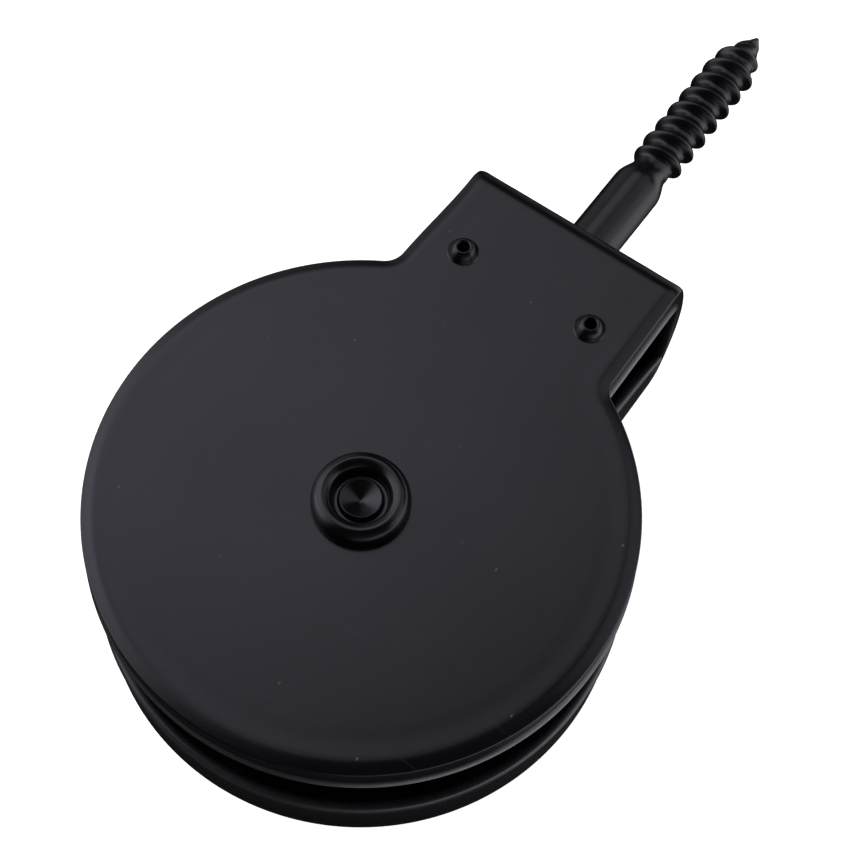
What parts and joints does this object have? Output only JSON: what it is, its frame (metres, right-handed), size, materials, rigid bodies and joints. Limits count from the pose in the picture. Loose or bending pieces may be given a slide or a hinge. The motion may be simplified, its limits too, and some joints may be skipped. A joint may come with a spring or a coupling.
{
  "type": "single sheave block with screw",
  "caption": "Closed sheet-steel block with a grooved sheave for rope between two cheeks, hung or fixed by a coarse screw standing out of its crown.",
  "frame": {"origin": "on the sheave's axis, in the plane of the back rivet heads that the block rests on when it lies flat", "axes": "+Z along the sheave's axis towards the front cheek; +Y from the sheave towards the screw's tip; +X across the neck"},
  "size_m": [0.058, 0.1131, 0.0251],
  "materials": {
    "housing": "satin black coating over sheet steel",
    "rivets": "semi-gloss black coating",
    "screw": "satin black coating, thicker in the thread's root",
    "sheave": "black, turned groove",
    "bush": "plain bearing bronze",
    "inner_steel": "bare turned steel, lightly oiled"
  },
  "bodies": {
    "block": {"housing_strap": "housing", "axle_sleeve": "inner_steel", "axle_rivet": "rivets", "thrust_washer_back": "inner_steel", "thrust_washer_front": "inner_steel", "neck_rivet_left": "rivets", "neck_rivet_right": "rivets", "neck_spacer_left": "inner_steel", "neck_spacer_right": "inner_steel", "crown_plate": "inner_steel", "screw": "screw"},
    "wheel": {"sheave": "sheave", "sheave_bush": "bush"}
  },
  "joints": [
    {"name": "sheave_spin", "type": "hinge", "parent": "block", "child": "wheel", "pos_m": [0, 0, 0.0121], "axis": [0, 0, 1], "continuous": true}
  ]
}
